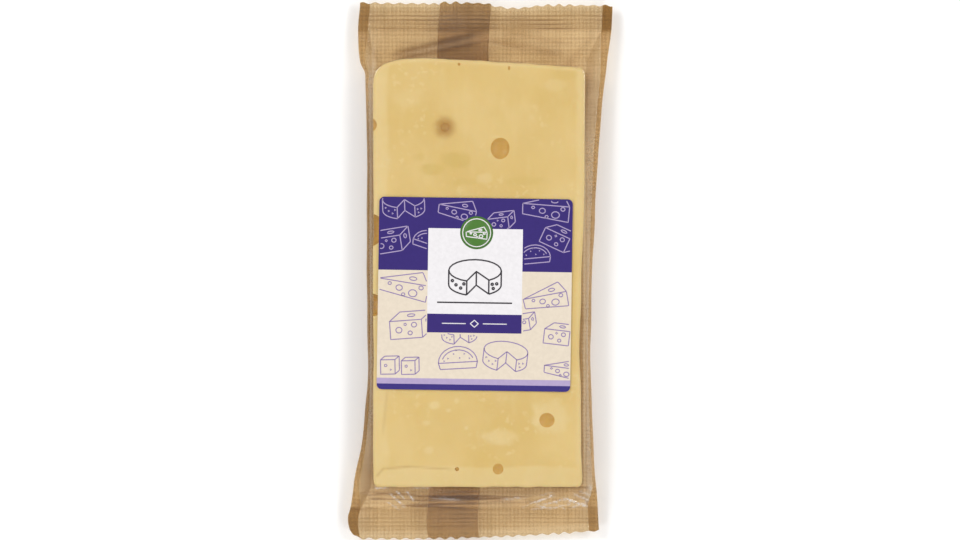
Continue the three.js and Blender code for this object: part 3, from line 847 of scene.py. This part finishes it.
# Shares for the strip's material: dark lines of painted shade, bonded or folded film with painted shade,
# the loose film's fine wrinkles, and painted light that makes film paler where it stands off the cheese.
def stripMarks(x, y, q, lines, sideBack, isLeft):
    toCrimp = lines["toCrimp"]
    past = pastCrimp(y)
    atSide, atMiddle, onFace, atRind, atFoot = wrap["leftBondAndShade" if isLeft else "rightBondAndShade"]
    inset = wrap["windowInset"]
    lower = inset + (0.9 * sideBack - inset) * (1 - toCrimp)
    # painted shade over the strip's side and the side's middle
    sided = atSide + atMiddle * (1 - ease(np.abs(y), 50, 75)) + 0.1 * toCrimp
    sided = sided * (1 - ease(-q, lower - 0.3, lower + 0.3))
    # painted shade over the fold on the face and the crimps
    folded = onFace * (1 - ease(np.abs(y), 55, 85)) + 0.2
    folded = folded + ease(toCrimp, 0.8, 1) * np.where(y > 0, atRind, atFoot)
    bondAndShade = np.where(q > 0, folded, sided)
    bondAndShade = np.maximum(bondAndShade, 0.2 * ease(toCrimp, 0.9, 1))
    if isLeft:
        lapLow = lines["lap"] - wrap["lapWidth"] / 2
        bonded = 0.09 + 0.35 * ease(toCrimp, 0.85, 1) + 0.27 * ease(y, -80, 0) * (1 - ease(past, 0, 3))
        bondAndShade = np.maximum(bondAndShade, bonded * ease(x, lapLow - 0.1, lapLow + 0.1))
    loose = ease(past, -11, -8) * (1 - ease(past, -1, 1)) * np.where(y > 0, 0.12, 1.0)
    # painted light: the strips are made lighter towards the cheese's ends, the right one all along, less
    # near the rind end and in the crimps
    light = ease(np.abs(y), 40, halfLong) if isLeft else 1.2
    light = light * (1 - 0.25 * ease(y, 78, 88))
    light = light * (1 - np.where(y > 0, 0.75, 0.25) * ease(past, -2.5, 0.5))
    shares = {"creases": darkLines(x, y) * np.where(q > 0, 0.5, 1.0), "bondAndShade": bondAndShade, "loose": loose,
              "light": light}
    return {key: np.tile((share + 0 * q).ravel(), 2) for key, share in shares.items()}


# Gloss of a thin film by the angle it is seen at: least where it faces the eye, rising with the
# fifth power.
def filmGloss(tree, least, normal):
    facing = node(tree, "ShaderNodeLayerWeight", {"Blend": 0.5, "Normal": normal}).outputs["Facing"]
    return remap(tree, maths(tree, "POWER", facing, 5.0), 0.0, 1.0, least, 0.3)


# The two kinds of film end alike: bump and gloss over what is under them.
def filmSurface(tree, under, bump, rough, least):
    gloss = node(tree, "ShaderNodeBsdfAnisotropic", {
        "Color": (1, 1, 1, 1), "Roughness": rough, "Normal": bump.outputs[0],
    })
    return node(tree, "ShaderNodeMixShader", {
        0: filmGloss(tree, least, bump.outputs[0]), 1: under.outputs[0], 2: gloss.outputs[0],
    })


# Clear film: see-through, with the gloss of a thin plastic sheet, a little haze, and painted glints: white
# haze along its creases at the plain end.
def clearMaterial():
    material, tree = newMaterial("clear film")
    haze = node(tree, "ShaderNodeBsdfDiffuse", {"Color": (0.9, 0.9, 0.9, 1)})
    through = node(tree, "ShaderNodeBsdfTransparent")
    clouds = remap(tree, noise(tree, 70, 3), 0.35, 0.7, 0.0, 0.008)
    glints = remap(tree, noise(tree, 900, 2), 0.42, 0.6, 0.05, 0.4)
    # painted glints: white haze along the creases
    broken = maths(tree, "MULTIPLY", mark(tree, "paintedGlint"), glints)
    veil = node(tree, "ShaderNodeMixShader", {
        0: maths(tree, "ADD", clouds, broken), 1: through.outputs[0], 2: haze.outputs[0],
    })
    bump = node(tree, "ShaderNodeBump", {
        "Height": noise(tree, 110, 2), "Strength": 0.06, "Distance": 0.001,
    })
    finishWith(tree, filmSurface(tree, veil, bump, 0.1, 0.016))
    return material


# Tan film: it tints what is seen through it, with a fine laid pattern both ways, soft clouds, painted
# light, bonded film with painted shade, and painted shade along its creases, wrinkles and the seal's
# ridges.
def tanMaterial():
    material, tree = newMaterial("tan paper film")
    place = node(tree, "ShaderNodeTexCoord").outputs["Object"]
    laid = []
    for axis, stretch in (("X", (1, 0.04, 0.2)), ("Y", (0.04, 1, 0.2))):
        ribs = node(tree, "ShaderNodeTexWave", {
            "Vector": place, "Scale": wrap["laidScale"], "Distortion": 1.2, "Detail": 2.0,
        }, bands_direction=axis).outputs["Fac"]
        streaks = noise(tree, 620, 2, stretch, seed=len(laid) + 1.0)
        laid.append(maths(tree, "ADD", maths(tree, "MULTIPLY", ribs, wrap["ribs"]),
                          maths(tree, "MULTIPLY", streaks, wrap["streaks"])))
    clouds = maths(tree, "MULTIPLY", noise(tree, 60, 4, seed=3.0), wrap["clouds"])
    tone = remap(tree, maths(tree, "ADD", maths(tree, "ADD", laid[0], laid[1]), clouds), 0.45, 0.69)
    # painted shade: fine wrinkle lines in the loose film
    drawn = remap(tree, noise(tree, 520, 3, (0.05, 1, 0.3), seed=7.0), 0.54, 0.66, 0.0, 0.8)
    drawn = maths(tree, "MULTIPLY", drawn, mark(tree, "loose"))
    # painted shade along the creases, the seal's ridges and the wrinkles
    lines = maths(tree, "MULTIPLY", maths(tree, "MAXIMUM", mark(tree, "creases"), drawn), 0.7)
    # painted light: the film is made lighter by this share
    light = maths(tree, "MULTIPLY", mark(tree, "light"), remap(tree, tone, 0.0, 1.0, 0.3, 0.75))
    bondAndShade = mark(tree, "bondAndShade")

    def shaded(kind):
        look = blend(tree, tone, wrap[kind + "Dark"], wrap[kind + "Light"])
        look = blend(tree, light, look, wrap[kind + "Lit"])
        # bonded film, and painted shade over folds and sides
        look = blend(tree, bondAndShade, look, wrap[kind + "BondAndShade"])
        return blend(tree, lines, look, wrap[kind + "Line"])

    body = shaded("body")
    through = node(tree, "ShaderNodeBsdfTransparent", {"Color": shaded("tint")})
    solid = node(tree, "ShaderNodeBsdfDiffuse", {"Color": body})
    glow = node(tree, "ShaderNodeBsdfTranslucent", {"Color": body})
    paper = node(tree, "ShaderNodeMixShader", {0: 0.35, 1: solid.outputs[0], 2: glow.outputs[0]})
    cover = remap(tree, bondAndShade, 0.0, 1.0, wrap["tanBody"], wrap["bondAndShadeBody"])
    mixed = node(tree, "ShaderNodeMixShader", {0: cover, 1: through.outputs[0], 2: paper.outputs[0]})
    bump = node(tree, "ShaderNodeBump", {"Height": tone, "Strength": 0.15, "Distance": 0.0003})
    finishWith(tree, filmSurface(tree, mixed, bump, 0.38, 0.006))
    return material


(points, faces), marks = windowSurface()
window = makePiece("window_film", points, faces, [clearMaterial()], marks=marks)
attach(window, "root")
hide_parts("clear_window")
tanFinish = tanMaterial()
for side, name, cadName in ((-1, "tan_film_left", "paper_strip_left"),
                            (1, "tan_film_right", "paper_strip_right")):
    (points, faces), marks = stripSurface(side)
    strip = makePiece(name, points, faces, [tanFinish], marks=marks)
    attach(strip, "root")
    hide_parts(cadName)
print("wrap made")


label = {
    "middle": (-1.7, -8.6),
    "turn": -0.85,  # degrees
    "width": 77.4,
    "height": 77.0,
    "corner": 2.0,
    "under": slabTop + 0.48,
    "thick": 0.12,
    "bandFoot": 9.3,  # lower edge of the purple band
    "stripeTop": -33.9,
    "stripeFoot": -36.2,
    "panelHalf": 18.9,
    "panelTop": 26.2,
    "panelFoot": -8.0,
    "ribbonFoot": -15.5,
    "badge": (0.4, 24.6),
    "badgeRadius": 6.6,
    "badgeStand": 0.04,  # of the badge above the sheet
    "badgeRing": 5.6,
    "emblem": (0, 6.8),
    "emblemSize": 10.5,
    "rule": ((-15, -3.4), (15, -3.4)),  # the line under the emblem
    "ribbonLine": -11.8,
    "line": 0.4,  # width of the drawn lines
    "emblemLine": 0.6,
    "badgeLine": 0.42,
    "inkDepth": 0.02,  # how far the ink goes into the sheet, and how far it stands above
    "purple": colour(56, 42, 114),
    "stripe": colour(60, 50, 124),
    "lavender": colour(177, 161, 198),
    "mauve": colour(150, 131, 178),
    "cream": colour(226, 213, 194),
    "white": colour(233, 230, 232),
    "green": colour(78, 122, 54),
    "ink": colour(60, 56, 62),
}


# From the label's own plane to the pack: turned, moved, and laid on the film with a slight wave.
def onPack(u, v, height):
    turn = math.radians(label["turn"])
    x = label["middle"][0] + u * math.cos(turn) - v * math.sin(turn)
    y = label["middle"][1] + u * math.sin(turn) + v * math.cos(turn)
    z = label["under"] + height + 0.04 * waves(x, y, 30, 81)
    return np.stack(np.broadcast_arrays(x, y, z), -1)


# Print on paper: a tone that varies a little, fine paper grain and a soft sheen.
def printMaterial(name, tone):
    material, tree = newMaterial(name)
    speck = remap(tree, noise(tree, 700, 3), 0.3, 0.7)
    shade = [channel * 0.93 for channel in tone[:3]] + [1]
    base = blend(tree, speck, shade, tone)
    bump = node(tree, "ShaderNodeBump", {"Height": speck, "Strength": 0.06, "Distance": 0.0002})
    surface = node(tree, "ShaderNodeBsdfPrincipled", {
        "Base Color": base, "Roughness": 0.35, "Normal": bump.outputs[0], "Specular IOR Level": 0.2,
    })
    finishWith(tree, surface)
    return material


prints = {key: printMaterial("print " + key, label[key])
          for key in ("purple", "stripe", "lavender", "mauve", "cream", "white", "green", "ink")}
sheetPrints = ["purple", "stripe", "lavender", "cream", "white"]


# The label is a flat grid with columns and rows on every printed edge, and its outer columns
# follow round corners: quarter circles.
def labelSurface():
    w, h, r = label["width"] / 2, label["height"] / 2, label["corner"]
    fine = r * np.sin(np.linspace(0, math.pi / 2, 7))
    edges = [label[key]
             for key in ("bandFoot", "stripeTop", "stripeFoot", "panelTop", "panelFoot", "ribbonFoot")]
    panel = label["panelHalf"]
    v = np.concatenate([np.linspace(-h + r, h - r, 24), edges, h - r + fine, -h + r - fine])
    u = np.concatenate([np.linspace(-w + r, w - r, 24), [-panel, panel], w - r + fine, -w + r - fine])
    u, v = np.unique(np.round(u, 4)), np.unique(np.round(v, 4))
    into = np.clip((np.abs(v) - (h - r)) / r, 0, 0.995)[:, None]
    room = r * np.sqrt(1 - into ** 2)
    uu = np.where(np.abs(u) > w - r, np.sign(u) * (w - r + (np.abs(u) - w + r) / r * room), u)
    vv = v[:, None] + 0 * u
    points, faces = shellOf(onPack(uu, vv, 0.0), onPack(uu, vv, label["thick"]))
    # each face of the upper skin takes the print of the first region that holds its middle
    midU, midV = np.meshgrid((u[:-1] + u[1:]) / 2, (v[:-1] + v[1:]) / 2)
    within = np.abs(midU) < panel
    regions = [
        ("white", within & (midV < label["panelTop"]) & (midV > label["panelFoot"])),
        ("purple", within & (midV < label["panelFoot"]) & (midV > label["ribbonFoot"])),
        ("purple", midV > label["bandFoot"]),
        ("cream", midV > label["stripeTop"]),
        ("lavender", midV > label["stripeFoot"]),
    ]
    kind = np.select([where for _, where in regions], [sheetPrints.index(key) for key, _ in regions],
                     sheetPrints.index("stripe")).ravel()
    paper = sheetPrints.index("white")
    rest = len(faces) - 2 * len(kind)
    return points, faces, np.concatenate([np.full(len(kind), paper), kind, np.full(rest, paper)])


# A drawn line is a flat bar carried along a path: two low and two high edges, closed at its ends
# or on itself.
def stroke(path, width, low, high):
    path = np.asarray(path, float)
    closed = np.allclose(path[0], path[-1])
    if closed:
        path = path[:-1]
        run = np.roll(path, -1, 0) - np.roll(path, 1, 0)
    else:
        run = np.gradient(path, axis=0)
    run = run / np.maximum(np.hypot(run[:, 0], run[:, 1]), 1e-9)[:, None]
    out = np.stack([-run[:, 1], run[:, 0]], -1) * width / 2
    a, b = path + out, path - out
    section = [(a, low), (b, low), (b, high), (a, high)]
    points = np.stack([onPack(p[:, 0], p[:, 1], height) for p, height in section], 1).reshape(-1, 3)
    if closed:
        return points, gridFaces(len(path) + 1, 4, wrapped=True) % len(points)
    ends = np.array([[3, 2, 1, 0], len(points) - 4 + np.arange(4)])
    return points, np.concatenate([gridFaces(len(path), 4, wrapped=True), ends])


# Points along straight lines between corners, close enough together to bend with the label.
def straight(*corners):
    corners = np.array(corners, float)
    parts = [np.linspace(a, b, 8)[:-1] for a, b in zip(corners[:-1], corners[1:])]
    return np.concatenate(parts + [corners[-1:]])


# Points of an ellipse between two angles in degrees.
def oval(x, y, wide, tall, start=0, end=360):
    t = np.radians(np.linspace(start, end, max(9, int(abs(end - start) / 14))))
    return np.stack([x + wide * np.cos(t), y + tall * np.sin(t)], -1)


# Small drawings on a field from -1 to 1, each a list of paths.
def wedgeDrawing():
    holes = [oval(-0.15, -0.14, 0.13, 0.11), oval(0.42, -0.28, 0.17, 0.14), oval(0.72, -0.02, 0.09, 0.08),
             oval(0.35, 0.3, 0.15, 0.07), oval(-0.55, -0.02, 0.07, 0.06), oval(0.05, -0.38, 0.07, 0.06)]
    return [straight((-1, 0.12), (0.7, 0.6), (1, 0.1), (-1, 0.12)),
            straight((-1, 0.12), (-0.98, -0.32), (0.98, -0.56), (1, 0.1))] + holes


def blockDrawing():
    holes = [oval(-0.6, -0.2, 0.14, 0.13), oval(-0.1, -0.36, 0.1, 0.09), oval(0.1, 0.0, 0.12, 0.11),
             oval(-0.3, 0.04, 0.06, 0.06), oval(0.72, 0.14, 0.07, 0.12), oval(0.0, 0.44, 0.18, 0.06)]
    return [straight((-1, -0.6), (-1, 0.22), (0.45, 0.22), (0.45, -0.6), (-1, -0.6)),
            straight((-1, 0.22), (-0.5, 0.62), (0.95, 0.62), (0.45, 0.22)),
            straight((0.95, 0.62), (0.95, -0.2), (0.45, -0.6))] + holes


def wheelDrawing():
    dots = [oval(x, y, 0.04, 0.04) for x, y in (
        (-0.72, -0.3), (-0.54, -0.42), (-0.42, -0.26), (0.66, -0.26), (0.83, -0.24), (-0.86, -0.14),
        (0.7, -0.42))]
    return [oval(0, 0.25, 1, 0.42, -58, 252),
            straight((-1, 0.25), (-1, -0.28)), straight((1, 0.25), (1, -0.28)),
            oval(0, -0.28, 1, 0.42, 180, 252), oval(0, -0.28, 1, 0.42, 302, 360),
            straight((0.53, -0.1), (0.05, 0.22), (-0.31, -0.14)), straight((0.53, -0.1), (0.53, -0.63)),
            straight((-0.31, -0.14), (-0.31, -0.67)), straight((0.05, 0.22), (0.05, -0.3)),
            straight((0.53, -0.63), (0.05, -0.3), (-0.31, -0.67))] + dots


def moonDrawing():
    dots = [oval(x, y, 0.035, 0.035) for x, y in (
        (-0.5, 0.1), (-0.2, 0.32), (0.1, 0.1), (0.35, 0.3), (0.6, 0.06), (-0.05, 0.5), (-0.7, -0.02))]
    return [oval(0, -0.12, 1, 0.82, 0, 180), straight((-1, -0.12), (1, -0.12)),
            straight((-1, -0.12), (-0.92, -0.44), (0.92, -0.44), (1, -0.12)),
            oval(0.0, -0.12, 0.82, 0.64, 18, 162)] + dots


def cubesDrawing():
    def cube(x, y, s):
        left, right, far = x - s, x + s, x + s * 1.6
        low, high, top = y - s, y + s, y + s * 1.5
        return [straight((left, low), (left, high), (right, high), (right, low), (left, low)),
                straight((left, high), (x - s * 0.4, top), (far, top), (right, high)),
                straight((far, top), (far, y - s * 0.5), (right, low)),
                oval(x - s * 0.3, y + s * 0.2, s * 0.2, s * 0.18),
                oval(x + s * 0.4, y - s * 0.4, s * 0.13, s * 0.13)]

    return cube(-0.6, -0.25, 0.36) + cube(0.42, -0.3, 0.34)


drawings = [  # which, middle, size, turn in degrees, ink
    (wheelDrawing, (-29.0, 35.6), 8.4, 3, "lavender"),
    (wedgeDrawing, (-7.4, 33.6), 7.6, -10, "lavender"),
    (blockDrawing, (10.4, 29.6), 5.6, 8, "lavender"),
    (wedgeDrawing, (28.0, 35.0), 9.4, -3, "lavender"),
    (blockDrawing, (-33.4, 21.0), 7.6, 10, "lavender"),
    (moonDrawing, (-18.6, 20.6), 6.4, -18, "lavender"),
    (moonDrawing, (23.6, 15.6), 6.4, 6, "lavender"),
    (blockDrawing, (34.0, 22.6), 7.4, -24, "lavender"),
    (wedgeDrawing, (-28.6, 3.4), 10.0, -8, "mauve"),
    (blockDrawing, (-25.0, -12.6), 8.8, 5, "mauve"),
    (cubesDrawing, (-29.6, -27.4), 8.0, 2, "mauve"),
    (moonDrawing, (-6.4, -26.4), 7.8, 4, "mauve"),
    (wheelDrawing, (12.6, -24.6), 8.8, -6, "mauve"),
    (wedgeDrawing, (28.2, -1.0), 8.8, 12, "mauve"),
    (blockDrawing, (35.0, -15.6), 7.0, -6, "mauve"),
    (wedgeDrawing, (34.6, -29.4), 6.4, -6, "mauve"),
    (wheelDrawing, (-6.0, -15.2), 7.0, 3, "mauve"),
    (blockDrawing, (19.4, -11.0), 5.6, 10, "mauve"),
]


# A drawing's paths enlarged, turned and moved to their place on the label.
def placed(paths, middle, size, turn):
    c, s = math.cos(math.radians(turn)), math.sin(math.radians(turn))
    return [np.asarray(path) * size @ np.array([[c, s], [-s, c]]) + middle for path in paths]


# The stretches of a path that lie on the label's own ground: inside its edge and its corners,
# above the stripes, and off the panel and the badge.
def trimmed(path):
    ends = np.concatenate([[0], np.cumsum(np.hypot(*np.diff(path, axis=0).T))])
    along = np.linspace(0, ends[-1], max(4, int(ends[-1] / 0.5)))
    fine = np.stack([np.interp(along, ends, path[:, k]) for k in (0, 1)], -1)
    u, v = np.abs(fine[:, 0]), fine[:, 1]
    w, h = label["width"] / 2, label["height"] / 2
    clear, inside, corner = 0.3, 0.4, 1.6
    free = (u < w - inside) & (v < h - inside) & (v > label["stripeTop"] + clear)
    free &= u + v < w + h - corner
    free &= ~((u < label["panelHalf"] + clear) & (v < label["panelTop"] + clear)
              & (v > label["ribbonFoot"] - clear))
    away = np.hypot(fine[:, 0] - label["badge"][0], v - label["badge"][1])
    free &= away > label["badgeRadius"] + clear
    runs = np.split(np.arange(len(fine)), np.flatnonzero(np.diff(free.astype(int))) + 1)
    return [fine[run] for run in runs if free[run[0]] and len(run) > 2]


# Many strokes as one mesh: their points one after another, with the face numbers moved on.
def joined(parts):
    starts = np.cumsum([0] + [len(points) for points, _ in parts[:-1]])
    return (np.concatenate([points for points, _ in parts]),
            np.concatenate([faces + start for (_, faces), start in zip(parts, starts)]))


# A flat round plate: rings from the middle out over the edge and back under, with both middles
# closed.
def plate(u, v, radius, low, high, count=72):
    radii = np.array([0, 0.5, 1, 1, 0.5, 0])[:, None]
    heights = np.array([high, high, high, low, low, low])[:, None]
    t = np.arange(count)[None, :] * math.tau / count
    points = onPack(u + radius * radii * np.cos(t), v + radius * radii * np.sin(t), heights + 0 * t)
    faces = gridFaces(6, count, wrapped=True)
    pole = np.arange(6 * count)
    pole[:count], pole[-count:] = 0, 5 * count
    return points.reshape(-1, 3), pole[faces]


points, faces, kinds = labelSurface()
sticker = makePiece("label_sheet", points, faces, [prints[key] for key in sheetPrints], kinds)
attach(sticker, "root")
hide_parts("front_label")

inkLow, inkHigh = label["thick"] - label["inkDepth"], label["thick"] + label["inkDepth"]
lineArt = {"lavender": [], "mauve": []}
for which, middle, size, turn, ink in drawings:
    for path in placed(which(), middle, size, turn):
        lineArt[ink] += [stroke(part, label["line"], inkLow, inkHigh) for part in trimmed(path)]

emblem = [stroke(path, label["emblemLine"], inkLow, inkHigh)
          for path in [*placed(wheelDrawing(), label["emblem"], label["emblemSize"], 0),
                       straight(*label["rule"])]]

badgeU, badgeV = label["badge"]
badgeTop = label["thick"] + label["badgeStand"]
badge = [plate(badgeU, badgeV, label["badgeRadius"], inkLow, badgeTop)]
badgeInk = [stroke(oval(badgeU, badgeV, label["badgeRing"], label["badgeRing"]), label["line"],
                   badgeTop - 0.01, badgeTop + 0.02)]
badgeInk += [stroke(path, label["badgeLine"], badgeTop - 0.01, badgeTop + 0.02)
             for path in placed(wedgeDrawing(), (badgeU, badgeV - 0.2), 4.2, 0)]

ribbonV = label["ribbonLine"]
ribbonInk = [stroke(path, label["line"], inkLow, inkHigh) for path in (
    straight((-13, ribbonV), (-3.4, ribbonV)),
    straight((3.4, ribbonV), (13, ribbonV)),
    straight((-1.6, ribbonV), (0, ribbonV + 1.4), (1.6, ribbonV), (0, ribbonV - 1.4), (-1.6, ribbonV)))]

for name, parts, finish in (("cheeses_on_purple", lineArt["lavender"], "lavender"),
                            ("cheeses_on_cream", lineArt["mauve"], "mauve"),
                            ("panel_emblem", emblem, "ink"),
                            ("green_badge", badge, "green"),
                            ("badge_lines", badgeInk, "white"),
                            ("ribbon_lines", ribbonInk, "white")):
    piece = makePiece(name, *joined(parts), [prints[finish]])
    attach(piece, "root")
print("label made")


studio = {
    "floor": colour(253, 253, 253),
    "worldStrength": 0.57,
    "world": (1.0, 1.0, 1.0, 1),
    "softboxes": [  # place in metres, size, power in watts
        ((-0.75, 0.55, 1.0), 0.5, 5.7),
        ((0.8, 0.35, 1.05), 0.5, 4.3),
        ((-0.6, -0.62, 0.95), 0.22, 2.2),
        ((0.62, -0.6, 0.95), 0.22, 2.2),
    ],
    "floorHalf": 3.0,  # in metres
    "floorHeight": -0.0004,
    "lens": 200.0,
    "sensor": 36.0,
    "seen": 0.384,  # width of the frame at the face of the pack, in metres
    "cameraY": 0.00036,
}

floorMaterial, floorTree = newMaterial("pale floor")
finishWith(floorTree, node(floorTree, "ShaderNodeBsdfDiffuse", {"Color": studio["floor"]}))
floorMesh = bpy.data.meshes.new("floor")
floorCorners = [(x * studio["floorHalf"], y * studio["floorHalf"], studio["floorHeight"])
                for x, y in ((-1, -1), (1, -1), (1, 1), (-1, 1))]
floorMesh.from_pydata(floorCorners, [], [(0, 1, 2, 3)])
floorMesh.materials.append(floorMaterial)
floor = bpy.data.objects.new("floor", floorMesh)
bpy.context.scene.collection.objects.link(floor)

for number, (place, size, power) in enumerate(studio["softboxes"]):
    lamp = bpy.data.lights.new(f"softbox {number}", "AREA")
    lamp.shape = "SQUARE"
    lamp.size = size
    lamp.energy = power
    holder = bpy.data.objects.new(f"softbox {number}", lamp)
    holder.location = place
    x, y, z = place
    holder.rotation_euler = (math.atan2(math.hypot(x, y), z), 0, math.atan2(-y, -x) - math.pi / 2)
    bpy.context.scene.collection.objects.link(holder)

world = bpy.data.worlds.new("soft room")
world.use_nodes = True
background = world.node_tree.nodes["Background"]
background.inputs["Color"].default_value = studio["world"]
background.inputs["Strength"].default_value = studio["worldStrength"]
bpy.context.scene.world = world
bpy.context.scene.view_settings.view_transform = "Standard"
# light passes up to four films on its way down and four on its way back, each with two skins
bpy.context.scene.cycles.transparent_max_bounces = 24

camera = bpy.data.objects.new("camera", bpy.data.cameras.new("camera"))
camera.data.lens = studio["lens"]
camera.data.sensor_width = studio["sensor"]
camera.data.clip_end = 20
away = studio["lens"] / studio["sensor"] * studio["seen"]
camera.location = (0.0, studio["cameraY"], slabTop * 0.001 + away)
camera.rotation_euler = (0, 0, 0)
bpy.context.scene.collection.objects.link(camera)
bpy.context.scene.camera = camera
print("studio made")
